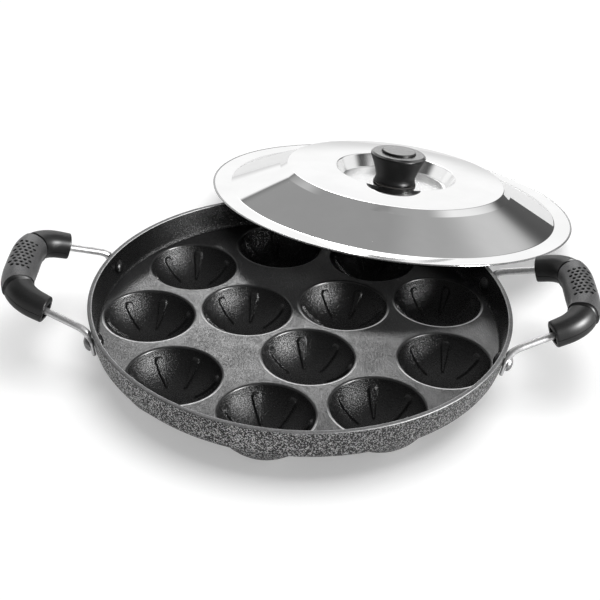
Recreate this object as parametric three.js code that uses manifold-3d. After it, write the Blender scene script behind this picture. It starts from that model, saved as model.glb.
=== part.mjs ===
// Paniyaram pan: an aluminium casting with a ring of nine and a ring of three round moulds, two
// riveted wire handles with two-part grips, and a spun steel lid that leans on the pan's rim.
import * as THREE from 'three';
import { mergeVertices } from 'three/addons/utils/BufferGeometryUtils.js';
import Module from 'manifold-3d';

const wasm = await Module();
wasm.setup();

// Driving dimensions, in millimetres, with angles in degrees.
const seatGap = 0.3; // left between two pieces that touch
const boreGap = 0.3; // round a shank in its hole, on the radius

// Moulds: bowls of a sphere, three in the middle and nine round them with equal lands between.
const mouldMouthRadius = 26.2;
const mouldDepth = 19;
const mouldWall = 2.4;
const mouldLip = 0.6;
const mouldLand = 2;
const mouldFootRadius = 7;
const ribCount = 7; // in each mould
const ribHeight = 1;
const ribMargin = 2.5; // from the mouth in to the wide end
const ribReach = 12.7; // from the wide end in to the narrow end
const ribWideWidth = 5.2;
const ribNarrowWidth = 1.8;
const innerCount = 3;
const outerCount = 9;

// Basin round the moulds.
const plateThickness = 3.5;
const plateMargin = 0.95; // from an outer mould's mouth to the foot of the wall
const wallThickness = 2.5;
const wallFlare = 2.6; // how far the wall leans out over its height
const rimHeight = 16.3; // above the plate
const rimChamfer = 0.8;
const outerFillet = 6;
const innerFillet = 0.8;

// Rivets through the wall and the handle tabs.
const rivetDrop = 9; // below the rim
const rivetAngle = 19.3; // from the handle axis, about the middle of the pan
const rivetShankRadius = 2.2;
const rivetHeadRadius = 4.2;
const rivetDome = 2.5;

// Handle wires, measured in the sloping plane of the handle from the bend at the wall.
const wireRadius = 2;
const wireBendHeight = 8.5; // above the rivet
const wireBendReach = 6;
const wireFoot = 4.5; // from the rivet up to the wire's end on the tab
const tabWidth = 10;
const tabThickness = 2.2;
const tabTail = 3; // from the rivet down to the round end's middle
const tabShoulder = 3; // from the rivet up to where the tab narrows
const tabNeck = 7.5; // from the rivet up to where the tab meets the wire
const handleRise = 17;
const gripStart = 23;
const gripReach = 43;
const gripEndSpread = 33; // from the handle axis to the wire at each end of the grip
const gripMiddle = 17; // straight length in the middle of the grip
const gripArm = 0.28; // share of each end that is straight

// Grip shells: the middle of the grip is a wider pad between two grooves.
const gripEndWidth = 13;
const gripPadWidth = 17;
const gripPadLength = 44;
const gripCrown = 8; // top of the upper shell above the wire, at the ends
const gripPadCrown = 9.2; // and in the middle of the pad
const gripBelly = 6.3; // bottom of the lower shell below the wire
const gripSquareness = 2.5; // 2 is an ellipse, more is squarer
const grooveWidth = 1.4;
const grooveDepth = 0.7;
const socketSize = 7.5;
const socketDepth = 3;
const gripScrewSpacing = 16;
const gripScrewOffset = 4.8; // outwards from the wire
const gripScrewRadius = 1.2;
const gripScrewHeadRadius = 2.1;
const gripScrewHeadHeight = 1.6;
const gripScrewSink = 2.6; // from the bottom of the lower shell up to the head
const gripScrewBite = 3; // into the upper shell

// Lid, with heights from the underside of its flat rim.
const lidRadius = 117.9;
const lidSheet = 0.8;
const lidRimWidth = 11.5;
const lidBead = 0.6;
const lidBeadSweep = 138; // each way from its outermost point
const lidShoulderRadius = 75.5;
const lidShoulderHeight = 14;
const lidCrownRadius = 71;
const lidCrownHeight = 17.2;
const lidDome = 1.2; // rise of the top from the crown to the dish
const lidDishRadius = 42.5;
const lidDishFloorRadius = 36;
const lidDishDepth = 8.4;
const lidDishFloor = lidCrownHeight + lidDome - lidDishDepth;
const lidCornerRadius = 2.5;
const lidOverhang = 79.2; // how far its edge reaches in over the pan's rim
const lidLeanDirection = 68.7; // seen from above, from the right-hand handle

// Knob and its fixing.
const knobBaseRadius = 13.4;
const knobWaistRadius = 13;
const knobWaistAt = 0.25; // share of the height under the flange
const knobNeckAt = 0.72;
const knobFlangeRadius = 18;
const knobTopRadius = 16.3;
const knobHeight = 19.5;
const knobFlangeHeight = 2.6;
const knobCapRadius = 10.9;
const knobCapRecess = 1.2;
const knobCapProud = 1.3;
const knobWasherRadius = 14;
const knobWasherThickness = 0.8;
const insertRadius = 4;
const insertLength = 10;
const knobScrewRadius = 2;
const knobScrewBite = 8;
const knobScrewHeadRadius = 4;
const knobScrewHeadHeight = 2.4;
const screwWasherRadius = 6;
const screwWasherThickness = 0.8;

// Facets.
const panSides = 56;
const filletSteps = 3;
const mouldSides = 3 * ribCount;
const mouldRings = 3;
const mouldOuterSides = 12;
const mouldOuterRings = 3;
const lidSides = 40;
const beadSteps = 4;
const knobSides = 18;
const waistSteps = 5;
const smallSides = 8;
const domeSteps = 2;
const wireSides = 8;
const wireBendSteps = 3;
const gripSteps = 12;
const gripSectionSteps = 6;

const radians = THREE.MathUtils.degToRad;
const vec2 = (x, y) => new THREE.Vector2(x, y);
const vec3 = (x, y, z) => new THREE.Vector3(x, y, z);

// Sizes that follow from the driving dimensions; every height is above the surface the pan stands on.
const mouldEdge = mouldMouthRadius + mouldLip;
const mouldPitch = 2 * mouldEdge + mouldLand;
const innerRing = mouldPitch / (2 * Math.sin(Math.PI / innerCount));
const halfStep = Math.PI / outerCount;
const outerRing =
  innerRing * Math.cos(halfStep) + Math.sqrt(mouldPitch ** 2 - (innerRing * Math.sin(halfStep)) ** 2);
const mouldSphere = (mouldMouthRadius ** 2 + mouldDepth ** 2) / (2 * mouldDepth);
const mouldOuterSphere = mouldSphere + mouldWall;
const mouldCentre = mouldSphere - mouldDepth; // above the plate
const ribRoot = mouldWall / 3; // how deep a rib is let into the mould's wall
const plateTop = Math.sqrt(mouldOuterSphere ** 2 - mouldFootRadius ** 2) - mouldCentre;
const plateRadius = outerRing + mouldEdge + plateMargin;
const rimTop = plateTop + rimHeight;
const wallLean = Math.atan2(wallFlare, rimHeight);
const rimInner = plateRadius + wallFlare;
const rimOuter = rimInner + wallThickness;

// Closed solid of a geometry: merged vertices, no empty triangles, faces pointing out.
function solidOf(geometry) {
  geometry.deleteAttribute('normal');
  geometry.deleteAttribute('uv');
  const merged = mergeVertices(geometry, 1e-4);
  const positions = merged.attributes.position.array;
  const corners = merged.index.array;
  const kept = [];
  let volume = 0;
  for (let i = 0; i < corners.length; i += 3) {
    const [a, b, c] = corners.slice(i, i + 3);
    if (a === b || b === c || c === a) continue;
    kept.push(a, b, c);
    const [p, q, r] = [a, b, c].map((k) => vec3().fromArray(positions, 3 * k));
    volume += p.dot(q.cross(r));
  }
  const triVerts = Uint32Array.from(volume < 0 ? kept.reverse() : kept);
  return new wasm.Manifold(new wasm.Mesh({ numProp: 3, vertProperties: positions, triVerts }));
}

function geometryOf(solid) {
  const { vertProperties, triVerts } = solid.getMesh();
  const geometry = new THREE.BufferGeometry();
  geometry.setAttribute('position', new THREE.BufferAttribute(vertProperties, 3));
  geometry.setIndex(new THREE.BufferAttribute(triVerts, 1));
  return geometry;
}

function meshOf(name, solid, material) {
  const geometry = geometryOf(solid).toNonIndexed();
  geometry.computeVertexNormals();
  const mesh = new THREE.Mesh(geometry, material.clone());
  mesh.name = name;
  return mesh;
}

// Solid of revolution about +Z; the profile's points hold radius and height.
function lathe(profile, sides, matrix = new THREE.Matrix4()) {
  const geometry = new THREE.LatheGeometry(profile, sides);
  geometry.rotateX(Math.PI / 2);
  return solidOf(geometry.applyMatrix4(matrix));
}

function cylinder(radius, bottom, top, sides, matrix) {
  return lathe([vec2(0, bottom), vec2(radius, bottom), vec2(radius, top), vec2(0, top)], sides, matrix);
}

function ring(innerRadius, outerRadius, bottom, top, sides) {
  const corners = [
    vec2(innerRadius, bottom),
    vec2(outerRadius, bottom),
    vec2(outerRadius, top),
    vec2(innerRadius, top),
    vec2(innerRadius, bottom),
  ];
  return lathe(corners, sides);
}

function arc(centreR, centreZ, radius, from, to, steps) {
  const points = [];
  for (let i = 0; i <= steps; i++) {
    const angle = from + ((to - from) * i) / steps;
    points.push(vec2(centreR + radius * Math.cos(angle), centreZ + radius * Math.sin(angle)));
  }
  return points;
}

// Polyline with each inner corner cut off.
function blunted(points, size) {
  const smooth = [points[0]];
  for (let i = 1; i < points.length - 1; i++) {
    const [before, corner, after] = points.slice(i - 1, i + 2);
    const reach = Math.min(size, corner.distanceTo(before) / 3, corner.distanceTo(after) / 3);
    smooth.push(corner.clone().add(before.clone().sub(corner).setLength(reach)));
    smooth.push(corner.clone().add(after.clone().sub(corner).setLength(reach)));
  }
  smooth.push(points.at(-1));
  return smooth;
}

// Solid through a row of closed sections, each a list of points in the same order, with flat ends.
function loft(sections, outline) {
  const count = outline.length;
  const points = sections.flat();
  const corners = [];
  for (let i = 0; i + 1 < sections.length; i++) {
    for (let k = 0; k < count; k++) {
      const [a, b] = [i * count + k, i * count + ((k + 1) % count)];
      corners.push(a, b, b + count, a, b + count, a + count);
    }
  }
  const last = (sections.length - 1) * count;
  for (const [a, b, c] of THREE.ShapeUtils.triangulateShape(outline, [])) {
    corners.push(c, b, a, last + a, last + b, last + c);
  }
  const geometry = new THREE.BufferGeometry().setFromPoints(points);
  return solidOf(geometry.setIndex(corners));
}

const materials = {
  casting: new THREE.MeshStandardMaterial({ color: 0x3a3a3c, roughness: 0.55, metalness: 0.4 }),
  steel: new THREE.MeshStandardMaterial({ color: 0xc8c8c8, roughness: 0.25, metalness: 1 }),
  lidSteel: new THREE.MeshStandardMaterial({ color: 0xe0e0e0, roughness: 0.08, metalness: 1 }),
  moulding: new THREE.MeshStandardMaterial({ color: 0x151515, roughness: 0.45, metalness: 0 }),
  brass: new THREE.MeshStandardMaterial({ color: 0xb08d57, roughness: 0.4, metalness: 1 }),
  fibre: new THREE.MeshStandardMaterial({ color: 0x2b2724, roughness: 0.8, metalness: 0 }),
};

// Centres of the moulds: an outer one lies on the handle axis, the inner ones face the outer lands.
// The first rib points away from the middle of the pan in the outer ones and towards it in the others.
function mouldPlaces() {
  const places = [];
  for (let i = 0; i < outerCount; i++) {
    const angle = Math.PI + 2 * halfStep * i;
    places.push({ x: outerRing * Math.cos(angle), y: outerRing * Math.sin(angle), turn: angle });
  }
  for (let i = 0; i < innerCount; i++) {
    const angle = Math.PI - halfStep + (2 * Math.PI * i) / innerCount;
    places.push({ x: innerRing * Math.cos(angle), y: innerRing * Math.sin(angle), turn: angle + Math.PI });
  }
  return places;
}

// Frame on the outside of the wall at a rivet: X along the wall, Y up the wall, Z away from it.
function rivetFrame(side) {
  const angle = radians(rivetAngle) * side;
  const height = rimHeight - rivetDrop;
  const radius = plateRadius + wallThickness + height * Math.tan(wallLean);
  const out = vec3(
    Math.cos(angle) * Math.cos(wallLean),
    Math.sin(angle) * Math.cos(wallLean),
    -Math.sin(wallLean),
  );
  const along = vec3(-Math.sin(angle), Math.cos(angle), 0);
  const up = vec3().crossVectors(out, along);
  return new THREE.Matrix4()
    .makeBasis(along, up, out)
    .setPosition(radius * Math.cos(angle), radius * Math.sin(angle), plateTop + height);
}

const halfTurn = new THREE.Matrix4().makeRotationZ(Math.PI);
const rivetPlaces = [
  ['right_rear', rivetFrame(1)],
  ['right_front', rivetFrame(-1)],
  ['left_front', rivetFrame(1).premultiply(halfTurn)],
  ['left_rear', rivetFrame(-1).premultiply(halfTurn)],
];

function basinProfile() {
  const footRadius = plateRadius + wallThickness;
  const filletHeight = outerFillet - plateThickness;
  const filletRadius = footRadius + filletHeight * Math.tan(wallLean) - outerFillet / Math.cos(wallLean);
  const chamferFlare = rimChamfer * Math.tan(wallLean);
  const outside = arc(filletRadius, filletHeight, outerFillet, -Math.PI / 2, -wallLean, filletSteps);
  const inside = arc(plateRadius - innerFillet, innerFillet, innerFillet, 0, -Math.PI / 2, filletSteps - 1);
  const profile = [
    vec2(0, -plateThickness),
    ...outside,
    vec2(rimOuter - chamferFlare, rimHeight - rimChamfer),
    vec2(rimOuter - rimChamfer, rimHeight),
    vec2(rimInner, rimHeight),
    ...inside,
    vec2(0, 0),
  ];
  return profile.map((point) => vec2(point.x, point.y + plateTop));
}

// Outside of a mould below the plate, with a flat foot to stand on.
function mouldOutside(place) {
  const centre = plateTop + mouldCentre;
  const plateMiddle = plateTop - plateThickness / 2;
  const footAngle = -Math.acos(mouldFootRadius / mouldOuterSphere);
  const plateAngle = Math.asin((plateMiddle - centre) / mouldOuterSphere);
  const bowl = arc(0, centre, mouldOuterSphere, footAngle, plateAngle, mouldOuterRings);
  const profile = [vec2(0, 0), ...bowl, vec2(0, plateMiddle)];
  return lathe(profile, mouldOuterSides, new THREE.Matrix4().makeTranslation(place.x, place.y, 0));
}

// Hollow of a mould, with a small chamfer at its mouth.
function mouldHollow(place) {
  const centre = plateTop + mouldCentre;
  const lipAngle = Math.asin((-mouldLip - mouldCentre) / mouldSphere);
  const bowl = arc(0, centre, mouldSphere, -Math.PI / 2, lipAngle, mouldRings);
  bowl[0].x = 0;
  const profile = [
    ...bowl,
    vec2(mouldEdge, plateTop),
    vec2(mouldEdge, plateTop + mouldLip),
    vec2(0, plateTop + mouldLip),
  ];
  const turn = new THREE.Matrix4().makeRotationZ(place.turn + Math.PI / 2);
  return lathe(profile, mouldSides, turn.setPosition(place.x, place.y, 0));
}

// Rib of a mould: a low ridge down the bowl, wide near the mouth and running out at the other end.
function mouldRib(place, turn) {
  const wideAngle = Math.asin((mouldMouthRadius - ribMargin) / mouldSphere);
  const narrowAngle = Math.asin((mouldMouthRadius - ribMargin - ribReach) / mouldSphere);
  const centre = plateTop + mouldCentre;
  const matrix = new THREE.Matrix4().makeRotationZ(turn).setPosition(place.x, place.y, centre);
  const section = (share, width, height) => {
    const angle = wideAngle + (narrowAngle - wideAngle) * share;
    const corners = [vec2(width / 2, -ribRoot), vec2(0, height), vec2(-width / 2, -ribRoot)];
    return corners.map(({ x, y }) => {
      const radius = mouldSphere - y;
      return vec3(radius * Math.sin(angle), x, -radius * Math.cos(angle)).applyMatrix4(matrix);
    });
  };
  const shoulder = ribWideWidth / 2 / ribReach;
  const sections = [
    section(0, ribWideWidth / 2, -ribRoot / 2),
    section(shoulder, ribWideWidth, ribHeight),
    section(1, ribNarrowWidth, 0),
  ];
  return loft(sections, [vec2(1, 0), vec2(0, 1), vec2(-1, 0)]);
}

function panBody() {
  let body = lathe(basinProfile(), panSides);
  const places = mouldPlaces();
  for (const place of places) body = body.add(mouldOutside(place));
  for (const place of places) body = body.subtract(mouldHollow(place));
  for (const place of places) {
    for (let i = 0; i < ribCount; i++) {
      body = body.add(mouldRib(place, place.turn + (2 * Math.PI * i) / ribCount));
    }
  }
  const boreRadius = rivetShankRadius + boreGap;
  for (const [, frame] of rivetPlaces) {
    body = body.subtract(cylinder(boreRadius, -2 * wallThickness, wallThickness, smallSides, frame));
  }
  return body;
}

// Rivet with a dome head outside the tab and another inside the wall.
function rivet(frame) {
  const wallDepth = wallThickness * Math.cos(wallLean);
  const wallCurve = rivetHeadRadius ** 2 / (2 * plateRadius);
  const inner = -wallDepth - wallCurve - seatGap;
  const outer = tabThickness + 2 * seatGap;
  const quarter = arc(0, 0, 1, 0, Math.PI / 2, domeSteps);
  quarter.at(-1).x = 0;
  const dome = (base, height) =>
    quarter.map((point) => vec2(point.x * rivetHeadRadius, base + point.y * height));
  const profile = [
    ...dome(inner, -rivetDome).reverse(),
    vec2(rivetShankRadius, inner),
    vec2(rivetShankRadius, outer),
    ...dome(outer, rivetDome),
  ];
  return lathe(profile, smallSides, frame);
}

// Tab at the end of a wire: round at the bottom, narrowing to the wire at the top.
function handleTab(frame) {
  const shape = new THREE.Shape();
  shape.moveTo(tabWidth / 2, -tabTail);
  shape.lineTo(tabWidth / 2, tabShoulder);
  shape.lineTo(wireRadius, tabNeck);
  shape.lineTo(-wireRadius, tabNeck);
  shape.lineTo(-tabWidth / 2, tabShoulder);
  shape.lineTo(-tabWidth / 2, -tabTail);
  shape.absarc(0, -tabTail, tabWidth / 2, Math.PI, 2 * Math.PI, false);
  const hole = new THREE.Path();
  hole.absarc(0, 0, rivetShankRadius + boreGap, 0, 2 * Math.PI, true);
  shape.holes.push(hole);
  const geometry = new THREE.ExtrudeGeometry(shape, {
    depth: tabThickness,
    bevelEnabled: false,
    curveSegments: smallSides / 2,
  });
  geometry.translate(0, 0, seatGap);
  return solidOf(geometry.applyMatrix4(frame));
}

// The sloping plane of a handle: X outwards and up, Y along the grip, through the bends at the wall.
const bendAtWall = vec3(0, wireBendHeight, seatGap + wireRadius).applyMatrix4(rivetFrame(1));
const handlePlane = new THREE.Matrix4()
  .makeRotationY(-radians(handleRise))
  .setPosition(bendAtWall.x, 0, bendAtWall.z);

// Middle line of the grip in the handle plane, from the rear end to the front end.
function gripLine() {
  const end = vec3(gripStart, gripEndSpread, 0);
  const slope = (gripEndSpread - bendAtWall.y) / gripStart;
  const corner = vec3(gripReach, gripEndSpread + slope * (gripReach - gripStart), 0);
  const bendStart = end.clone().lerp(corner, gripArm);
  const bendEnd = vec3(gripReach, gripMiddle / 2, 0);
  const mirrored = (point) => vec3(point.x, -point.y, 0);
  const line = new THREE.CurvePath();
  line.add(new THREE.LineCurve3(end, bendStart));
  line.add(new THREE.QuadraticBezierCurve3(bendStart, corner, bendEnd));
  line.add(new THREE.LineCurve3(bendEnd, mirrored(bendEnd)));
  line.add(new THREE.QuadraticBezierCurve3(mirrored(bendEnd), mirrored(corner), mirrored(bendStart)));
  line.add(new THREE.LineCurve3(mirrored(bendStart), mirrored(end)));
  return line;
}

// Half section of the grip above (way 1) or below (way -1) the wire, with a channel for the wire:
// X points outwards from the wire and Y up.
function gripSection(way, width, height) {
  const split = seatGap / 2;
  const channel = wireRadius + boreGap;
  const bulge = (value) => Math.sign(value) * Math.abs(value) ** (2 / gripSquareness);
  const shell = arc(0, 0, 1, 0, Math.PI, gripSectionSteps).map(({ x, y }) =>
    vec2((bulge(x) * width) / 2, split + bulge(Math.max(y, 0)) * (height - split)),
  );
  const start = Math.asin(split / channel);
  const hollow = arc(0, 0, channel, Math.PI - start, start, wireSides / 2);
  const outline = [...shell, ...hollow];
  const turned = outline.map((point) => vec2(point.x, way * point.y));
  return way > 0 ? turned : turned.reverse();
}

// Stops along the grip: an even row, with four more at each groove for its edges and floor. Each has
// its place and two directions in the handle plane, along the grip and outwards from its middle line.
function gripStops() {
  const line = gripLine();
  const length = line.getLength();
  const stops = [];
  for (let i = 0; i <= gripSteps; i++) stops.push({ at: (length * i) / gripSteps, sunk: 0 });
  for (const groove of [(length - gripPadLength) / 2, (length + gripPadLength) / 2]) {
    const half = grooveWidth / 2;
    const nearby = (stop) => Math.abs(stop.at - groove) < 2 * half;
    for (let i = stops.length - 1; i >= 0; i--) if (nearby(stops[i])) stops.splice(i, 1);
    stops.push({ at: groove - half, sunk: 0 }, { at: groove - half / 2, sunk: grooveDepth });
    stops.push({ at: groove + half / 2, sunk: grooveDepth }, { at: groove + half, sunk: 0 });
  }
  stops.sort((one, other) => one.at - other.at);
  return stops.map(({ at, sunk }) => {
    const share = at / length;
    const along = line.getTangentAt(share);
    return { share, sunk, place: line.getPointAt(share), along, outwards: vec3(-along.y, along.x, 0) };
  });
}

// Stops of the wire from the end of the grip round the bend to its tab, carried along without twist;
// way is 1 where the wire runs towards the tab and -1 where it comes from it.
function tabStops(frame, gripEnd, way) {
  const rodHeight = seatGap + wireRadius;
  const corner = vec3(0, wireBendHeight, rodHeight).applyMatrix4(frame);
  const foot = vec3(0, wireFoot, rodHeight).applyMatrix4(frame);
  const away = corner.clone().add(gripEnd.place.clone().sub(corner).setLength(wireBendReach));
  const bend = new THREE.QuadraticBezierCurve3(away, corner, foot);
  const stops = [];
  let outwards = gripEnd.outwards;
  for (let i = 0; i <= wireBendSteps; i++) {
    const along = bend.getTangent(i / wireBendSteps).multiplyScalar(way);
    outwards = outwards.clone().projectOnPlane(along).normalize();
    stops.push({ place: bend.getPoint(i / wireBendSteps), along, outwards });
  }
  return stops;
}

// Wire from the tab on one side, through the grip, to the tab on the other.
function handleWire() {
  const [rearFrame, frontFrame] = [rivetFrame(1), rivetFrame(-1)];
  const gripPart = gripStops().map(({ place, along, outwards }) => ({
    place: place.applyMatrix4(handlePlane),
    along: along.transformDirection(handlePlane),
    outwards: outwards.transformDirection(handlePlane),
  }));
  const rearPart = tabStops(rearFrame, gripPart[0], -1).reverse();
  const frontPart = tabStops(frontFrame, gripPart.at(-1), 1);
  const circle = arc(0, 0, wireRadius, 0, 2 * Math.PI * (1 - 1 / wireSides), wireSides - 1);
  const sections = [...rearPart, ...gripPart, ...frontPart].map(({ place, along, outwards }) => {
    const up = vec3().crossVectors(along, outwards);
    return circle.map(({ x, y }) => place.clone().addScaledVector(outwards, x).addScaledVector(up, y));
  });
  return loft(sections, circle).add(handleTab(rearFrame)).add(handleTab(frontFrame));
}

// Centres of the grip's two screws in the handle plane.
const gripScrewPlaces = [1, -1].map((way) =>
  vec3(gripReach + gripScrewOffset, (way * gripScrewSpacing) / 2, 0),
);
const gripScrewHead = gripScrewSink - gripBelly; // level of the head's face

function gripShell(way, endHeight, padHeight) {
  const stops = gripStops();
  const sections = stops.map(({ share, sunk, place, outwards }) => {
    const swell = Math.sin(Math.PI * share);
    const width = gripEndWidth + (gripPadWidth - gripEndWidth) * swell;
    const height = endHeight + (padHeight - endHeight) * swell;
    const section = gripSection(way, width - 2 * sunk, height - sunk);
    return section.map(({ x, y }) => place.clone().addScaledVector(outwards, x).add(vec3(0, 0, y)));
  });
  let shell = loft(sections, gripSection(way, gripEndWidth, endHeight));
  for (const { place, along } of [stops[0], stops.at(-1)]) {
    const socket = new THREE.BoxGeometry(2 * socketDepth, socketSize, socketSize);
    const turn = new THREE.Matrix4().makeRotationZ(Math.atan2(along.y, along.x));
    shell = shell.subtract(solidOf(socket.applyMatrix4(turn.setPosition(place))));
  }
  const headTop = gripScrewHead + gripScrewHeadHeight + seatGap;
  for (const place of gripScrewPlaces) {
    const matrix = new THREE.Matrix4().setPosition(place);
    const shankTop = gripScrewBite + boreGap;
    const shank = cylinder(gripScrewRadius + boreGap, -gripBelly, shankTop, smallSides, matrix);
    const head = cylinder(gripScrewHeadRadius + boreGap, -2 * gripBelly, headTop, smallSides, matrix);
    shell = shell.subtract(shank).subtract(head);
  }
  return shell;
}

// Screw that draws the shells together from below.
function gripScrew(place) {
  const neck = gripScrewHead + gripScrewHeadHeight;
  const profile = [
    vec2(0, gripScrewHead),
    vec2(gripScrewHeadRadius, gripScrewHead),
    vec2(gripScrewHeadRadius, neck),
    vec2(gripScrewRadius, neck),
    vec2(gripScrewRadius, gripScrewBite - gripScrewRadius),
    vec2(0, gripScrewBite),
  ];
  return lathe(profile, smallSides, new THREE.Matrix4().setPosition(place));
}

function handle(name, turn) {
  const group = new THREE.Group();
  group.rotation.z = turn;
  group.add(meshOf(`handle_wire_${name}`, handleWire(), materials.steel));
  const grip = new THREE.Group();
  grip.applyMatrix4(handlePlane);
  grip.add(meshOf(`grip_upper_${name}`, gripShell(1, gripCrown, gripPadCrown), materials.moulding));
  grip.add(meshOf(`grip_lower_${name}`, gripShell(-1, gripBelly, gripBelly), materials.moulding));
  gripScrewPlaces.forEach((place, i) => {
    grip.add(meshOf(`grip_screw_${name}_${i + 1}`, gripScrew(place), materials.steel));
  });
  group.add(grip);
  return group;
}

// Spun sheet: the underside from the middle hole to the rim, the rolled edge, and back over the top.
function lidShell() {
  const underside = blunted(
    [
      vec2(knobScrewRadius + boreGap, lidDishFloor),
      vec2(lidDishFloorRadius, lidDishFloor),
      vec2(lidDishRadius, lidCrownHeight + lidDome),
      vec2(lidCrownRadius, lidCrownHeight),
      vec2(lidShoulderRadius, lidShoulderHeight),
      vec2(lidRadius - lidRimWidth, 0),
      vec2(lidRadius - 2 * lidBead, 0),
    ],
    lidCornerRadius,
  );
  const topside = underside.map((point) => vec2(point.x, point.y + lidSheet)).reverse();
  const sweep = radians(lidBeadSweep);
  const bead = arc(lidRadius - lidBead, lidSheet / 2, lidBead, -sweep, sweep, beadSteps);
  return lathe([...underside, ...bead, ...topside, underside[0].clone()], lidSides);
}

// Knob: a waisted turning with a flange, a recess for its cap and a blind hole for the insert.
function knobBody() {
  const flangeUnder = knobHeight - knobFlangeHeight - (knobFlangeRadius - knobTopRadius);
  const holeRadius = insertRadius + boreGap;
  const holeTop = insertLength + 2 * seatGap;
  const waist = new THREE.SplineCurve([
    vec2(knobBaseRadius, knobFlangeHeight / 2),
    vec2(knobWaistRadius, flangeUnder * knobWaistAt),
    vec2((knobWaistRadius + knobFlangeRadius) / 2, flangeUnder * knobNeckAt),
    vec2(knobFlangeRadius, flangeUnder + knobFlangeHeight / 2),
  ]).getPoints(waistSteps);
  const profile = [
    vec2(0, holeTop),
    vec2(holeRadius, holeTop),
    vec2(holeRadius, 0),
    vec2(knobBaseRadius, 0),
    ...waist,
    vec2(knobTopRadius, knobHeight),
    vec2(knobCapRadius + boreGap, knobHeight),
    vec2(knobCapRadius + boreGap, knobHeight - knobCapRecess),
    vec2(0, knobHeight - knobCapRecess),
  ];
  return lathe(profile, knobSides);
}

function knobCap() {
  const bottom = knobHeight - knobCapRecess + seatGap;
  const top = knobHeight + knobCapProud;
  const edge = knobCapProud / 2;
  const profile = [
    vec2(0, bottom),
    vec2(knobCapRadius, bottom),
    vec2(knobCapRadius, top - edge),
    vec2(knobCapRadius - edge, top),
    vec2(0, top),
  ];
  return lathe(profile, knobSides);
}

// Screw under the lid, with its head below the sheet and its tip in the insert.
function knobScrew(knobBottom) {
  const neck = lidDishFloor - screwWasherThickness - 2 * seatGap;
  const profile = [
    vec2(0, neck - knobScrewHeadHeight),
    vec2(knobScrewHeadRadius - knobScrewHeadHeight / 2, neck - knobScrewHeadHeight),
    vec2(knobScrewHeadRadius, neck - knobScrewHeadHeight / 2),
    vec2(knobScrewHeadRadius, neck),
    vec2(knobScrewRadius, neck),
    vec2(knobScrewRadius, knobBottom + knobScrewBite),
    vec2(0, knobBottom + knobScrewBite),
  ];
  return lathe(profile, smallSides);
}

function lid() {
  const group = new THREE.Group();
  const washerBottom = lidDishFloor + lidSheet + seatGap;
  const washerTop = washerBottom + knobWasherThickness;
  const knobBottom = washerTop + seatGap;
  const holeRadius = knobScrewRadius + boreGap;
  group.add(meshOf('lid_shell', lidShell(), materials.lidSteel));
  const washer = ring(holeRadius, knobWasherRadius, washerBottom, washerTop, knobSides);
  group.add(meshOf('knob_washer', washer, materials.fibre));
  const screwWasherTop = lidDishFloor - seatGap;
  const screwWasher = ring(
    holeRadius,
    screwWasherRadius,
    screwWasherTop - screwWasherThickness,
    screwWasherTop,
    smallSides,
  );
  group.add(meshOf('knob_screw_washer', screwWasher, materials.steel));
  group.add(meshOf('knob_screw', knobScrew(knobBottom), materials.steel));
  const knob = new THREE.Group();
  knob.position.z = knobBottom;
  knob.add(meshOf('knob_body', knobBody(), materials.moulding));
  knob.add(meshOf('knob_cap', knobCap(), materials.moulding));
  const insert = ring(holeRadius, insertRadius, seatGap, seatGap + insertLength, smallSides);
  knob.add(meshOf('knob_insert', insert, materials.brass));
  group.add(knob);
  return group;
}

// Place of a lid that leans by an angle, with its rolled edge on the table and the inner edge of its
// flat rim on the pan's rim, which meet at two places, one each side of the lean.
function leanPlace(lean) {
  const seatRadius = rimOuter - rimChamfer;
  const edgeRadius = lidRadius - lidRimWidth;
  const beadDrop = (lidRadius - lidBead) * Math.sin(lean) - (lidSheet / 2) * Math.cos(lean) + lidBead;
  const height = seatGap + beadDrop;
  const seatHeight = rimTop + seatGap / Math.cos(lean);
  const behindSeat = (seatHeight - height) / Math.tan(lean);
  const seatDistance = Math.sqrt(seatRadius ** 2 - edgeRadius ** 2 + (behindSeat / Math.cos(lean)) ** 2);
  return { height, distance: seatDistance + behindSeat };
}

// The lean that gives the lid its overhang is found by halving; a steeper lid stands nearer.
function leanLid(group) {
  const wanted = rimOuter + lidRadius - lidOverhang;
  let [flat, steep] = [radians(1), radians(45)];
  while (steep - flat > radians(0.0001)) {
    const trial = (flat + steep) / 2;
    if (leanPlace(trial).distance > wanted) flat = trial;
    else steep = trial;
  }
  const { height, distance } = leanPlace(steep);
  const direction = radians(lidLeanDirection);
  const axis = vec3(-Math.sin(direction), Math.cos(direction), 0);
  group.quaternion.setFromAxisAngle(axis, steep);
  group.position.set(distance * Math.cos(direction), distance * Math.sin(direction), height);
  return group;
}

const product = new THREE.Group();
product.add(meshOf('pan_body', panBody(), materials.casting));
product.add(handle('right', 0));
product.add(handle('left', Math.PI));
for (const [name, frame] of rivetPlaces) {
  product.add(meshOf(`rivet_${name}`, rivet(frame), materials.steel));
}
product.add(leanLid(lid()));

// The origin is the middle of the footprint, on the surface that the pan stands on.
const middle = new THREE.Box3().setFromObject(product).getCenter(vec3());
product.position.set(-middle.x, -middle.y, 0);

const model = new THREE.Group();
model.add(product);
export default model;
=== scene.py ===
from math import acos, asin, atan2, copysign, cos, hypot, pi, radians, sin, sqrt, tan

import bmesh
import bpy
from mathutils import Matrix, Vector


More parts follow.
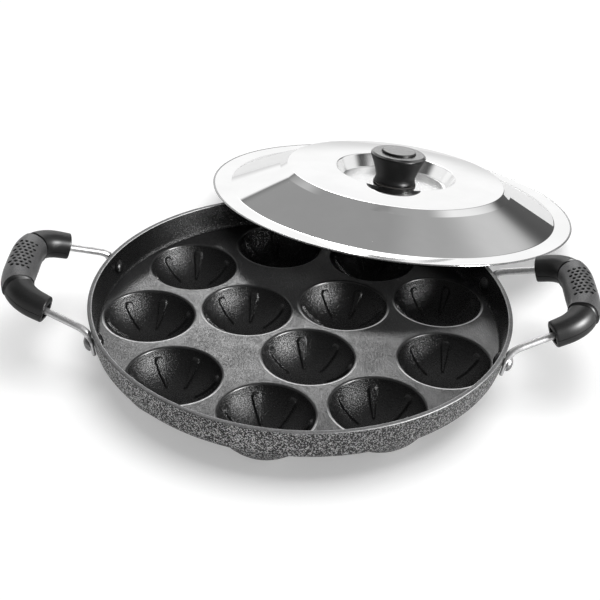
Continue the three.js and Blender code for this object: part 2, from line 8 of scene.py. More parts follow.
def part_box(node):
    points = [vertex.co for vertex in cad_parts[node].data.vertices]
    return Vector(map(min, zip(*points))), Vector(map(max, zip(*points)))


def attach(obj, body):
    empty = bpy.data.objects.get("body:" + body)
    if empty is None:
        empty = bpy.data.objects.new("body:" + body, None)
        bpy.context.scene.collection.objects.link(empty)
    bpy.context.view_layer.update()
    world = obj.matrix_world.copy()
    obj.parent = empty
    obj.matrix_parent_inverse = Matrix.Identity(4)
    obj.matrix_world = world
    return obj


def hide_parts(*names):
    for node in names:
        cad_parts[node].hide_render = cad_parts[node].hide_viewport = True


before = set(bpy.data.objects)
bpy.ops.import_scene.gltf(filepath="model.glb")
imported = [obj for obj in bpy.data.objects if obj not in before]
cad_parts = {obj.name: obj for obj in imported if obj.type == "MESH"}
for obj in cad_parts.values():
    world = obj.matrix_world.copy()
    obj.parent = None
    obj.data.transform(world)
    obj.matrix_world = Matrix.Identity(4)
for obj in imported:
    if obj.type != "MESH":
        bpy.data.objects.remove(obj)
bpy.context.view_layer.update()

scene = bpy.context.scene

# Pieces are drawn in millimetres round the pan's axis, with the table at zero height.
panLow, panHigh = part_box("pan_body")
panPlace = Matrix.Translation(((panLow.x + panHigh.x) / 2, (panLow.y + panHigh.y) / 2, 0)) @ Matrix.Scale(0.001, 4)
halfTurn = Matrix.Rotation(pi, 4, "Z")
print("frame loaded, pan axis at", [round(v, 4) for v in panPlace.translation])


# shader maths

class Sock:
    def __init__(self, tree, out):
        self.tree = tree
        self.out = out

    def calc(self, operation, first, second=None):
        node = self.tree.nodes.new("ShaderNodeMath")
        node.operation = operation
        for socket, value in zip(node.inputs, (first, second)):
            if isinstance(value, Sock):
                self.tree.links.new(value.out, socket)
            elif value is not None:
                socket.default_value = value
        return Sock(self.tree, node.outputs[0])

    def __add__(self, other): return self.calc("ADD", self, other)
    def __radd__(self, other): return self.calc("ADD", other, self)
    def __sub__(self, other): return self.calc("SUBTRACT", self, other)
    def __rsub__(self, other): return self.calc("SUBTRACT", other, self)
    def __mul__(self, other): return self.calc("MULTIPLY", self, other)
    def __rmul__(self, other): return self.calc("MULTIPLY", other, self)
    def __truediv__(self, other): return self.calc("DIVIDE", self, other)
    def __rtruediv__(self, other): return self.calc("DIVIDE", other, self)
    def __pow__(self, other): return self.calc("POWER", self, other)
    def __abs__(self): return self.calc("ABSOLUTE", self)

    # smooth step from 0 at low to 1 at high; high may be the lower one
    def step(self, low, high):
        node = self.tree.nodes.new("ShaderNodeMapRange")
        node.interpolation_type = "SMOOTHSTEP"
        self.tree.links.new(self.out, node.inputs["Value"])
        swap = low > high
        node.inputs["From Min"].default_value = high if swap else low
        node.inputs["From Max"].default_value = low if swap else high
        node.inputs["To Min"].default_value = 1 if swap else 0
        node.inputs["To Max"].default_value = 0 if swap else 1
        return Sock(self.tree, node.outputs["Result"])

    # 1 between two values, with soft ends
    def band(self, low, high, soft): return self.step(low - soft, low + soft) * self.step(high + soft, high - soft)


class Nodes:
    def __init__(self, tree):
        self.tree = tree
        tree.nodes.clear()

    def feed(self, socket, value):
        if isinstance(value, Sock):
            self.tree.links.new(value.out, socket)
        elif isinstance(value, (tuple, list)) and socket.type == "RGBA" and len(value) == 3:
            socket.default_value = (*value, 1)
        else:
            socket.default_value = value

    # any node: its type, its settings, the values or links of its sockets, and the output wanted
    def add(self, kind, settings=None, sockets=None, output=0):
        node = self.tree.nodes.new("ShaderNode" + kind)
        for key, value in (settings or {}).items():
            setattr(node, key, value)
        for key, value in (sockets or {}).items():
            self.feed(node.inputs[key], value)
        return Sock(self.tree, node.outputs[output])

    def mix(self, factor, first, second):
        return self.add("Mix", {"data_type": "RGBA"}, {"Factor": factor, 6: first, 7: second}, 2)

    def noise(self, where, scale, detail, rough, distortion=0.0):
        values = {"Vector": where, "Scale": scale, "Detail": detail, "Roughness": rough, "Distortion": distortion}
        return self.add("TexNoise", {}, values)


class Finish(Nodes):
    def __init__(self, name, **constants):
        self.material = bpy.data.materials.new(name)
        self.material.use_nodes = True
        super().__init__(self.material.node_tree)
        self.shader = self.tree.nodes.new("ShaderNodeBsdfPrincipled")
        out = self.tree.nodes.new("ShaderNodeOutputMaterial")
        self.tree.links.new(self.shader.outputs[0], out.inputs["Surface"])
        self.place = self.add("TexCoord", output="Object")
        for key, value in constants.items():
            self.set(key, value)

    def set(self, socket, value):
        self.feed(self.shader.inputs[socket], value)

    def bump(self, height, distance, strength):
        values = {"Height": height, "Distance": distance, "Strength": strength}
        self.set("Normal", self.add("Bump", {}, values))


# mesh helpers

# 0 to 1 with soft ends, held outside that range
def eased(share):
    share = min(max(share, 0), 1)
    return share * share * (3 - 2 * share)


# line through corners, each given with its radius
def rounded(corners, steps=5):
    line = []
    for i, (x, z, radius) in enumerate(corners):
        corner = Vector((x, z))
        if not radius:
            line.append(corner)
            continue
        back = (Vector(corners[i - 1][:2]) - corner).normalized()
        ahead = (Vector(corners[i + 1][:2]) - corner).normalized()
        half = back.angle(ahead) / 2
        centre = corner + (back + ahead).normalized() * (radius / sin(half))
        start = corner + back * (radius / tan(half)) - centre
        end = corner + ahead * (radius / tan(half)) - centre
        line += [centre + start.slerp(end, k / steps) * radius for k in range(steps + 1)]
    return line


# smooth curve through points
def smoothLine(points, steps):
    line = []
    rows = [points[0], *points, points[-1]]
    for before, start, end, after in zip(rows, rows[1:], rows[2:], rows[3:]):
        for k in range(steps):
            t = k / steps
            line.append(0.5 * (2 * start + (end - before) * t + (2 * before - 5 * start + 4 * end - after) * t ** 2
                               + (3 * start - before - 3 * end + after) * t ** 3))
    return line + [points[-1]]


def spun(bm, profile, steps, closed=False):
    verts = [bm.verts.new((r, 0, z)) for r, z in profile]
    edges = [bm.edges.new(pair) for pair in zip(verts, verts[1:])]
    if closed:
        edges.append(bm.edges.new((verts[-1], verts[0])))
    bmesh.ops.spin(bm, geom=verts + edges, axis=(0, 0, 1), angle=2 * pi, steps=steps, use_merge=True)


def cleaned(bm, distance=0.002):
    bmesh.ops.remove_doubles(bm, verts=bm.verts, dist=distance)
    bmesh.ops.recalc_face_normals(bm, faces=bm.faces)


# solid of revolution; a closed profile stands off the axis
def turned(profile, steps, closed=False):
    bm = bmesh.new()
    spun(bm, profile, steps, closed)
    cleaned(bm)
    return bm


# closed section carried along stations and capped at the first; point(station, share) gives a place on it
def swept(bm, stations, sides, point):
    first = ring = bmesh.ops.create_circle(bm, segments=sides, radius=1)["verts"]
    for i, station in enumerate(stations):
        if i:
            edges = [bm.edges.get((ring[j], ring[j - 1])) for j in range(sides)]
            made = set(bmesh.ops.extrude_edge_only(bm, edges=edges)["geom"])
            ring = [next(e.other_vert(v) for e in v.link_edges if e.other_vert(v) in made) for v in ring]
        for j, vert in enumerate(ring):
            vert.co = point(station, j / sides)
    bm.faces.new(first)


def stored(bm, name):
    mesh = bpy.data.meshes.new(name)
    bm.to_mesh(mesh)
    bm.free()
    return mesh


def linked(name, data):
    thing = bpy.data.objects.new(name, data)
    scene.collection.objects.link(thing)
    return thing


# adds a copy of a mesh to bm and gives its open edges
def placed(bm, mesh, matrix):
    before = set(bm.verts)
    bm.from_mesh(mesh)
    made = [vert for vert in bm.verts if vert not in before]
    bmesh.ops.transform(bm, matrix=matrix, verts=made)
    return {edge for vert in made for edge in vert.link_edges if edge.is_boundary}


def makePiece(bm, name, place, finishes, sharp=35):
    bmesh.ops.transform(bm, matrix=place, verts=bm.verts)
    for face in bm.faces:
        face.smooth = True
    for edge in bm.edges:
        if edge.calc_face_angle(0) > radians(sharp):
            edge.smooth = False
    piece = linked(name, stored(bm, name))
    for finish in finishes:
        piece.data.materials.append(finish.material)
    return piece


# cuts or joins by a second mesh; both are closed
def combined(bm, other, operation):
    objects = [linked("trial", stored(part, "trial")) for part in (bm, other)]
    modifier = objects[0].modifiers.new("combine", "BOOLEAN")
    modifier.operation = operation
    modifier.solver = "EXACT"
    modifier.object = objects[1]
    result = bmesh.new()
    result.from_object(objects[0], bpy.context.evaluated_depsgraph_get())
    for trial in objects:
        mesh = trial.data
        bpy.data.objects.remove(trial)
        bpy.data.meshes.remove(mesh)
    return result


def dress(piece, body, nodes):
    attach(piece, body)
    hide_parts(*nodes)


# finishes

coating = Finish("coating_black", Metallic=0.0)
coating.set("Specular IOR Level", 0.3)
grain = coating.noise(coating.place, 1500, 2, 0.7)
smudge = coating.noise(coating.place, 38, 3, 0.55)
coating.set("Base Color", coating.mix(grain.step(0.35, 0.7), (0.007, 0.007, 0.0071), (0.016, 0.016, 0.0162)))
coating.set("Roughness", 0.2 + 0.1 * grain + 0.05 * smudge)
height = coating.add("SeparateXYZ", {}, {"Vector": coating.place}, "Z")
# the wall above the plate is smoother than the moulds
coating.bump(grain * (1 - 0.75 * height.step(0.0212, 0.0235)), 0.0003, 1.0)

platter = Finish("coating_plate", Metallic=0.0)
platter.set("Specular IOR Level", 0.35)
platter.set("Coat IOR", 1.6)
platter.set("Coat Roughness", 0.24)
grain = platter.noise(platter.place, 1050, 3, 0.8)
scuff = platter.noise(platter.place, 45, 3, 0.6)
scratches = 0.0
for turn in (0.4, 1.5, 2.5):
    values = {"Vector": platter.place, "Rotation": (0, 0, turn), "Scale": (1, 0.16, 1)}
    streak = platter.noise(platter.add("Mapping", {}, values), 1500, 1, 0.5)
    scratches = scratches + streak.step(0.56, 0.66)
platter.set("Base Color", platter.mix(grain.step(0.35, 0.7), (0.008, 0.008, 0.0082), (0.026, 0.026, 0.0265)))
platter.set("Roughness", 0.26 + 0.1 * grain + 0.1 * scuff)
platter.set("Coat Weight", grain.step(0.42, 0.6) * 0.5 + scratches * 0.2 + scuff.step(0.4, 0.6) * 0.25)
platter.bump(grain + scratches, 0.00008, 0.6)

lipEdge = Finish("coating_lip", Metallic=0.0)
lipEdge.set("Specular IOR Level", 0.45)
grain = lipEdge.noise(lipEdge.place, 1500, 2, 0.6)
# painted highlight: the lips turn light grey on the near side of each mould, less so in the rear moulds as painted
# shade under the lid
lipHighlightMask = lipEdge.add("Attribute", {"attribute_name": "lipHighlight"}, {}, "Fac")
lipCoating = lipEdge.mix(grain.step(0.3, 0.7), (0.006, 0.006, 0.0062), (0.02, 0.02, 0.0204))
lipEdge.set("Base Color", lipEdge.mix(lipHighlightMask, lipCoating, (0.56, 0.56, 0.562)))
lipEdge.set("Roughness", 0.26 + 0.12 * grain)

hammered = Finish("enamel_hammered", Metallic=0.0)
worm = hammered.noise(hammered.place, 1250, 1.0, 0.5, 0.6)
speck = hammered.noise(hammered.place, 1500, 2, 0.6)
dark = worm.step(0.555, 0.54)
light = hammered.mix(speck.step(0.3, 0.7), (0.46, 0.46, 0.463), (0.75, 0.75, 0.753))
hammered.set("Base Color", hammered.mix(dark, light, (0.003, 0.003, 0.0031)))
hammered.set("Roughness", 0.36 + 0.14 * dark)
hammered.bump(1 - dark, 0.0003, 0.8)


# one grain, by its scale and detail, turns the colour from dark to light and adds to the roughness
def grainFinish(name, metal, scale, detail, turn, dark, light, rough, spread):
    finish = Finish(name, Metallic=metal)
    finish.grain = finish.noise(finish.place, scale, detail, 0.6)
    finish.set("Base Color", finish.mix(finish.grain.step(*turn), dark, light))
    finish.set("Roughness", rough + spread * finish.grain)
    return finish


def plasticFinish(name, rough, level, tone=1.0):
    dark, light = ([v * tone for v in colour] for colour in ((0.006, 0.006, 0.006), (0.013, 0.013, 0.0133)))
    finish = grainFinish(name, 0.0, 1800, 2, (0.35, 0.7), dark, light, rough, 0.1)
    finish.set("Specular IOR Level", level)
    finish.bump(finish.grain, 0.00004, 0.3)
    return finish


rimTop = grainFinish("rim_satin", 0.9, 1500, 2, (0.3, 0.7), (0.12, 0.12, 0.1208), (0.22, 0.22, 0.2215), 0.5, 0.15)
rimEdge = grainFinish("rim_bare", 1.0, 1300, 2, (0.25, 0.7), (0.26, 0.26, 0.262), (0.46, 0.46, 0.462), 0.56, 0.15)
rodSteel = grainFinish("steel_rod", 1.0, 900, 3, (0.3, 0.75), (0.5, 0.5, 0.502), (0.66, 0.66, 0.662), 0.32, 0.14)
studSteel = grainFinish("steel_stud", 1.0, 1000, 3, (0.3, 0.7), (0.16, 0.16, 0.161), (0.28, 0.28, 0.281), 0.36, 0.15)
screwSteel = grainFinish("steel_screw", 1.0, 1200, 2, (0.3, 0.7), (0.45, 0.45, 0.44), (0.62, 0.62, 0.61), 0.28, 0.15)
# the lid's rolled edge: darker steel, a painted dark reflection
beadPaintedDark = grainFinish("steel_edge_painted_dark", 1.0, 900, 3, (0.3, 0.7), (0.3, 0.3, 0.301), (0.45, 0.45, 0.451), 0.12, 0.1)
brass = grainFinish("brass_turned", 1.0, 1300, 2, (0.3, 0.7), (0.6, 0.45, 0.22), (0.74, 0.58, 0.32), 0.25, 0.15)
fibre = grainFinish("fibre_washer", 0.0, 1100, 3, (0.3, 0.7), (0.02, 0.019, 0.017), (0.05, 0.046, 0.042), 0.55, 0.2)

moulding = plasticFinish("moulding_satin", 0.37, 0.38)
# the pad's colour is nine times lighter than the moulding, a painted sheen
padSheen = plasticFinish("moulding_pad_sheen", 0.4, 0.6, 9)
matte = plasticFinish("moulding_matte", 0.34, 0.25)
hollow = plasticFinish("moulding_hollow", 0.8, 0.1)
polished = plasticFinish("moulding_polished", 0.2, 0.8)
polished.set("Coat Weight", 1.0)
polished.set("Coat IOR", 1.7)
polished.set("Coat Roughness", 0.25)

# its roughness is set with the lid, where the place of the dish is known
lidSteel = Finish("steel_mirror", Metallic=1.0)
cloud = lidSteel.noise(lidSteel.place, 30, 3, 0.55)
brushed = lidSteel.noise(lidSteel.place, 900, 3, 0.6)
lidSteel.set("Base Color", lidSteel.mix(cloud.step(0.3, 0.7), (0.92, 0.92, 0.92), (0.97, 0.97, 0.97)))
print("finishes made")


# pan body

pan = {
    "plateTop": 20.57, "plateRadius": 112.4, "plateThickness": 3.5,
    "wallThickness": 2.5, "rimInner": 115.0, "rimOuter": 117.5, "rimTop": 36.87,
    "outerFillet": 6, "innerFillet": 1.2, "rimRound": 0.6, "rimInnerRound": 0.5, "edgeDepth": 0.3, "steps": 288,
    "rings": [(9, 84.66, 180, 0), (3, 32.10, 160, 180)],  # count, radius, first place, turn of the first rib
}
mould = {
    "mouth": 25.4, "sphere": 26.48, "centre": 7.48, "lip": 1.2, "lipRows": 7, "lipShare": 0.7, "flat": 0.4,
    "outerSphere": 29.96, "outerCentre": 8.56, "foot": 7.0, "bumpRows": 10, "bumpAngle": 5.4, "bumpSteps": 56,
    "ribs": 7, "columns": 24, "ribHeight": 1.2, "ribStart": 23.9, "ribEnd": 10.6,
    "wide": 2.6, "narrow": 0.9, "edge": 0.8, "edgeOut": 0.1,
    # slopes of the rows, closest where the ribs are
    "slopes": [71, 68.4] + [66 - 1.75 * k for k in range(26)] + [19, 14.5, 9.5, 5, 0],
    # how the columns are drawn to a rib: even share of half a sector, and the share it becomes
    "warp": [(0, 0), (2 / 12, 0.14), (9 / 12, 0.32), (1.001, 1)],
    # painted highlight on the lips: its strength in the front and rear moulds (less under the lid, as painted shade)
    # and its spread round each lip
    "highlightFront": 1.0, "highlightRear": 0.12, "highlightDepth": 60, "highlightStart": 0.1, "highlightSlope": 1.3, "highlightReach": 2,
}
sector = 2 * pi / mould["ribs"]
panFinishes = {
    "coating": coating, "outside": hammered, "rim": rimTop, "plate": platter, "lip": lipEdge, "edge": rimEdge,
}
panSlot = {name: index for index, name in enumerate(panFinishes)}


def mouldPlaces():
    for count, radius, first, turn in pan["rings"]:
        for i in range(count):
            angle = radians(first + 360 / count * i)
            yield Vector((radius * cos(angle), radius * sin(angle), 0)), angle + radians(turn)


# angle from the nearest rib; one rib points along X
def fromRib(angle):
    return (angle + sector / 2) % sector - sector / 2


# height of a rib over the bowl at an angle round it and a slope up from its bottom
def ribHeight(angle, slope):
    start = asin(mould["ribStart"] / mould["sphere"])
    end = asin(mould["ribEnd"] / mould["sphere"])
    wide, narrow = mould["wide"], mould["narrow"]
    along = (start - slope) * mould["sphere"] - wide
    across = abs(fromRib(angle)) * mould["sphere"] * sin(slope)
    length = (start - end) * mould["sphere"] - wide - narrow
    taper = (wide - narrow) / length
    level = sqrt(1 - taper ** 2)
    ahead = level * along - taper * across
    if ahead < 0:
        distance = hypot(across, along) - wide
    elif ahead > level * length:
        distance = hypot(across, along - length) - narrow
    else:
        distance = level * across + taper * along - wide
    return mould["ribHeight"] * eased((mould["edgeOut"] - distance) / mould["edge"])


# bowl with its lip, at the middle, warped so that most columns lie at the ribs
def bowlMesh():
    top, sphere, lip = pan["plateTop"], mould["sphere"], mould["lip"]
    centre = top + mould["centre"]
    lean = asin(mould["mouth"] / sphere)
    mouth = mould["mouth"] + lip * tan(lean / 2)
    profile = [Vector((mouth + mould["flat"], top))]
    for k in range(mould["lipRows"] + 1):
        step = lean * k / mould["lipRows"]
        profile.append(Vector((mouth - lip * sin(step), top - lip * (1 - cos(step)))))
    slopes = [radians(slope) for slope in mould["slopes"]]
    profile += [Vector((sphere * sin(slope), centre - sphere * cos(slope))) for slope in slopes]
    bm = bmesh.new()
    spun(bm, profile, mould["ribs"] * mould["columns"])
    bmesh.ops.remove_doubles(bm, verts=bm.verts, dist=0.002)
    for vert in bm.verts:
        x, y, z = vert.co
        radius, angle = hypot(x, y), atan2(y, x)
        side = fromRib(angle)
        share = abs(side) * 2 / sector
        low, high = next(pair for pair in zip(mould["warp"], mould["warp"][1:]) if share < pair[1][0])
        warped = low[1] + (high[1] - low[1]) * (share - low[0]) / (high[0] - low[0])
        angle += (warped - share) * sector / 2 * copysign(1, side)
        out = Vector((radius * cos(angle), radius * sin(angle), z))
        if z < top - lip:
            down = out - Vector((0, 0, centre))
            slope = acos(max(min(-down.z / down.length, 1), -1))
            out -= down.normalized() * ribHeight(angle, slope)
        vert.co = out
    for face in bm.faces:
        onLip = face.calc_center_median().z > top - mould["lipShare"] * lip
        face.material_index = panSlot["lip" if onLip else "coating"]
    return stored(bm, "bowl")


# underside of a mould, closed at the level of the plate
def bumpMesh():
    top, sphere = pan["plateTop"], mould["outerSphere"]
    centre = top + mould["outerCentre"]
    line = []
    for k in range(mould["bumpRows"] + 1):
        slope = asin(mould["foot"] / sphere) + radians(mould["bumpAngle"]) * k
        line.append(Vector((sphere * sin(slope), centre - sphere * cos(slope))))
    profile = [Vector((0, line[0].y)), *line, Vector((line[-1].x, top)), Vector((0, top))]
    return stored(turned(profile, mould["bumpSteps"]), "bump")


def panOutside():
    top, under = pan["plateTop"], pan["plateTop"] - pan["plateThickness"]
    foot = pan["plateRadius"] + pan["wallThickness"]
    lean = (pan["rimOuter"] - foot) / (pan["rimTop"] - top)
    inner = pan["rimInner"] + pan["rimInnerRound"]
    profile = rounded([
        (0, under, 0), (foot - lean * pan["plateThickness"], under, pan["outerFillet"]),
        (pan["rimOuter"], pan["rimTop"], pan["rimRound"]), (inner, pan["rimTop"], 0), (0, pan["rimTop"], 0),
    ], 6)
    bumps = bmesh.new()
    bump = bumpMesh()
    for spot, turn in mouldPlaces():
        placed(bumps, bump, Matrix.Translation(spot))
    return combined(turned(profile, pan["steps"]), bumps, "UNION")


def panBody():
    bm = panOutside()
    top, inner = pan["plateTop"], pan["rimInner"] + pan["rimInnerRound"]
    for face in bm.faces:
        onRim = face.calc_center_median().z > pan["rimTop"] - pan["rimRound"]
        face.material_index = panSlot["rim" if onRim else "outside"]
    # the flat top inside the rim gives way to the wall, the plate and the bowls
    cap = [f for f in bm.faces if f.normal.z > 0.99 and all(hypot(v.co.x, v.co.y) < inner + 0.01 for v in f.verts)]
    bmesh.ops.delete(bm, geom=cap, context="FACES")
    wall = bmesh.new()
    spun(wall, rounded([
        (inner, pan["rimTop"], 0), (pan["rimInner"], pan["rimTop"], pan["rimInnerRound"] * 0.99),
        (pan["plateRadius"], top, pan["innerFillet"]), (0, top, 0),
    ], 5)[:-1], pan["steps"])
    for face in wall.faces:
        onEdge = face.calc_center_median().z > pan["rimTop"] - pan["edgeDepth"]
        face.material_index = panSlot["edge" if onEdge else "coating"]
    loops = [edge for edge in placed(bm, stored(wall, "wall"), Matrix()) if edge.verts[0].co.z < top + 0.01]
    bowl = bowlMesh()
    for spot, turn in mouldPlaces():
        loops += placed(bm, bowl, Matrix.Translation(spot) @ Matrix.Rotation(turn, 4, "Z"))
    for face in bmesh.ops.triangle_fill(bm, use_beauty=True, edges=loops)["geom"]:
        if isinstance(face, bmesh.types.BMFace):
            face.material_index = panSlot["plate"]
    cleaned(bm)
    # painted highlight on the lips: lightest at the near side of each mould, and weaker in the rear moulds as painted
    # shade under the lid
    lipHighlight = bm.verts.layers.float.new("lipHighlight")
    lips = {vert for face in bm.faces if face.material_index == panSlot["lip"] for vert in face.verts}
    for spot, turn in mouldPlaces():
        share = min(max(spot.y / mould["highlightDepth"], 0), 1)
        strongest = mould["highlightFront"] + (mould["highlightRear"] - mould["highlightFront"]) * share
        for vert in lips:
            x, y = vert.co.x - spot.x, vert.co.y - spot.y
            if hypot(x, y) < mould["mouth"] + mould["highlightReach"]:
                vert[lipHighlight] = strongest * eased(mould["highlightStart"] - mould["highlightSlope"] * y / mould["mouth"])
    for edge in bm.edges:
        kinds = {f.material_index for f in edge.link_faces}
        if panSlot["plate"] in kinds and len(kinds) > 1:
            edge.smooth = False
    return bm


piece = makePiece(panBody(), "pan_casting", panPlace, panFinishes.values(), 40)
dress(piece, "pan", ["pan_body"])
print("pan", len(piece.data.polygons), "faces")


# handles

handle = {
    "rivetAngle": 19.3, "rivetHeight": 7.3, "wallLean": atan2(2.6, 16.3), "wallFoot": 114.9, "gap": 0.3,
    "wireRadius": 2.0, "bendHeight": 8.5, "bendReach": 6.0, "sides": 24,
    "tabWidth": 10, "tabThickness": 2.2, "tabTail": 3, "tabShoulder": 2.5, "tabNeck": 6.5, "tabBulge": 0.55,
    "rise": 17, "start": 23, "reach": 43, "endSpread": 33, "middle": 17, "arm": 0.28,
}
grip = {
    "endWidth": 13, "padWidth": 17, "padLength": 44, "crown": 8.0, "padCrown": 9.2, "belly": 6.3, "square": 2.5,
    "grooveWidth": 2.4, "grooveDepth": 1.3, "padLift": 0.5, "round": 0.7, "socket": 7.5, "socketDepth": 3,
    "split": 0.15, "crownShare": 0.75, "upperSides": 168, "lowerSides": 64,
    "armRows": 34, "grooveRows": 8, "padRows": 90,
    "dimple": 1.05, "dimpleDepth": 1.5, "dimpleRows": 9, "dimpleColumns": 4, "rowStep": 3.0, "columnStep": 2.9,
    "dimpleShift": 1.6, "dimpleMargin": 1, "hollowFrom": 0.2,
    "screwSpacing": 16, "screwOffset": 4.8, "screwRadius": 1.2, "headRadius": 2.1, "headHeight": 1.6,
    "sink": 2.6, "bite": 3, "slot": (2.6, 0.55, 1.6), "slotTurn": 0.05,
    "bore": 2.4, "boreDepth": 8, "boreGap": 0.3, "screwSteps": 24,
}
rivet = {"head": 4.2, "shank": 2.2, "dome": 2.5, "wall": 2.47, "innerGap": 0.38, "outerGap": 0.6, "steps": 32}


def rivetFrame(way):
    angle, lean = radians(handle["rivetAngle"]) * way, handle["wallLean"]
    radius = handle["wallFoot"] + handle["rivetHeight"] * tan(lean)
    out = Vector((cos(angle) * cos(lean), sin(angle) * cos(lean), -sin(lean)))
    along = Vector((-sin(angle), cos(angle), 0))
    matrix = Matrix((along, out.cross(along), out)).transposed().to_4x4()
    matrix.translation = (radius * cos(angle), radius * sin(angle), pan["plateTop"] + handle["rivetHeight"])
    return matrix


rearRivet = rivetFrame(1)
bendAtWall = rearRivet @ Vector((0, handle["bendHeight"], handle["gap"] + handle["wireRadius"]))
handlePlane = Matrix.Translation((bendAtWall.x, 0, bendAtWall.z)) @ Matrix.Rotation(-radians(handle["rise"]), 4, "Y")


# bend from start to end, drawn towards the corner
def curve(start, corner, end, steps):
    return [start.lerp(corner, k / steps).lerp(corner.lerp(end, k / steps), k / steps) for k in range(steps + 1)]


# middle line of the rear half of a grip in the handle plane, as close points
def gripLine():
    end = Vector((handle["start"], handle["endSpread"], 0))
    slope = (handle["endSpread"] - bendAtWall.y) / handle["start"]
    corner = Vector((handle["reach"], handle["endSpread"] + slope * (handle["reach"] - handle["start"]), 0))
    bendStart = end.lerp(corner, handle["arm"])
    bendEnd = Vector((handle["reach"], handle["middle"] / 2, 0))
    middle = Vector((handle["reach"], 0, 0))
    line = [end.lerp(bendStart, k / 10) for k in range(10)] + curve(bendStart, corner, bendEnd, 120)
    return line + [bendEnd.lerp(middle, k / 10) for k in range(1, 11)]


halfGrip = gripLine()
lengths = [0]
for here, there in zip(halfGrip, halfGrip[1:]):
    lengths.append(lengths[-1] + (there - here).length)
halfLength = lengths[-1]


# place, direction and outward direction at a distance from the grip's rear end
def gripStop(at):
    i = next((k for k in range(1, len(lengths)) if lengths[k] >= at - 1e-6), len(lengths) - 1)
    share = (at - lengths[i - 1]) / (lengths[i] - lengths[i - 1])
    along = (halfGrip[i] - halfGrip[i - 1]).normalized()
    if i + 1 < len(halfGrip):
        along = along.lerp((halfGrip[i + 1] - halfGrip[i]).normalized(), share).normalized()
    if at > halfLength - 1e-6:
        along = Vector((0, -1, 0))
    return halfGrip[i - 1].lerp(halfGrip[i], share), along, Vector((-along.y, along.x, 0))


# how far an end with a round of that size is drawn in
def rounding(at, size):
    return size - sqrt(max(size ** 2 - max(size - at, 0) ** 2, 0))


# point on a rounded square that is 2 wide; a bulge of 1 makes it a circle
def squarePoint(share, bulge):
    angle = 2 * pi * share
    return [copysign(abs(v) ** bulge, v) for v in (cos(angle), sin(angle))]


def gripPoint(share, width, height):
    x, y = squarePoint(share, 2 / grip["square"])
    return Vector((x * width / 2, y * height))


def mirrored(bm):
    bmesh.ops.mirror(bm, geom=bm.verts[:] + bm.edges[:] + bm.faces[:], matrix=Matrix(), merge_dist=0.01, axis="Y")


# half of the wire, from the tip of the rear tab to the middle of the grip
def wireStations():
    thick, gap, radius = handle["tabThickness"], handle["gap"], handle["wireRadius"]
    halfTab, shoulder, neck = handle["tabWidth"] / 2, handle["tabShoulder"], handle["tabNeck"]
    tip = -handle["tabTail"] - halfTab
    # the round end of the tab, then the first half of its neck
    heights = [tip + halfTab * (1 - cos(pi / 2 * k / 8)) for k in range(9)]
    heights += [shoulder + (neck - shoulder) * k / 8 for k in range(5)]
    across, up = (rearRivet.to_3x3() @ Vector(v) for v in ((1, 0, 0), (0, 1, 0)))
    stations = []
    for height in heights:
        share = eased((height - shoulder) / (neck - shoulder))
        below = min(height + handle["tabTail"], 0)
        width = sqrt(max(halfTab ** 2 - below ** 2, 0.01)) * (1 - share) + radius * share
        half = thick / 2 * (1 - share) + radius * share
        stations.append((rearRivet @ Vector((0, height, gap + half)), up, across, width, half, share))
    foot, startShare, neckWidth = stations[-1][0], stations[-1][5], stations[-2][3]
    gripEnd = handlePlane @ halfGrip[0]
    away = bendAtWall + (gripEnd - bendAtWall).normalized() * handle["bendReach"]
    line = curve(foot, bendAtWall, away, 10)[1:]
    line += [away.lerp(gripEnd, k / 3) for k in (1, 2, 3)]
    line += [handlePlane @ gripStop(halfLength * k / 16)[0] for k in range(1, 17)]
    for i, place in enumerate(line):
        back = line[i - 1] if i else foot
        if i + 1 < len(line):
            along = ((line[i + 1] - place).normalized() + (place - back).normalized()).normalized()
        else:
            along = Vector((0, -1, 0))
        across = (across - along * across.dot(along)).normalized()
        # the section is round from the sixth station after the tab
        share = min(startShare + (1 - startShare) * (i + 1) / 6, 1)
        width = neckWidth * (1 - share) + radius * share if share < 1 else radius
        stations.append((place, along, across, max(width, radius), radius, share))
    return stations


def wireSection(station, share):
    place, along, across, width, half, roundness = station
    x, y = squarePoint(share, handle["tabBulge"] + (1 - handle["tabBulge"]) * roundness)
    return place + across * (x * width) + across.cross(along) * (y * half)


def handleWire():
    bm = bmesh.new()
    swept(bm, wireStations(), handle["sides"], wireSection)
    mirrored(bm)
    cleaned(bm, 0.001)
    return bm


# depth of the pad's dimples at a place along and across the grip
def dimpleDepth(along, across):
    depth = 0
    for row in range(grip["dimpleRows"]):
        s = (row - (grip["dimpleRows"] - 1) / 2) * grip["rowStep"]
        if abs(along - s) > grip["dimple"]:
            continue
        for column in range(grip["dimpleColumns"]):
            shift = 0.5 if row % 2 else 0
            c = (column + shift - (grip["dimpleColumns"] - 0.5) / 2) * grip["columnStep"] + grip["dimpleShift"]
            d = hypot(along - s, across - c)
            if d < grip["dimple"]:
                depth = max(depth, grip["dimpleDepth"] * (1 - d / grip["dimple"]))
    return depth


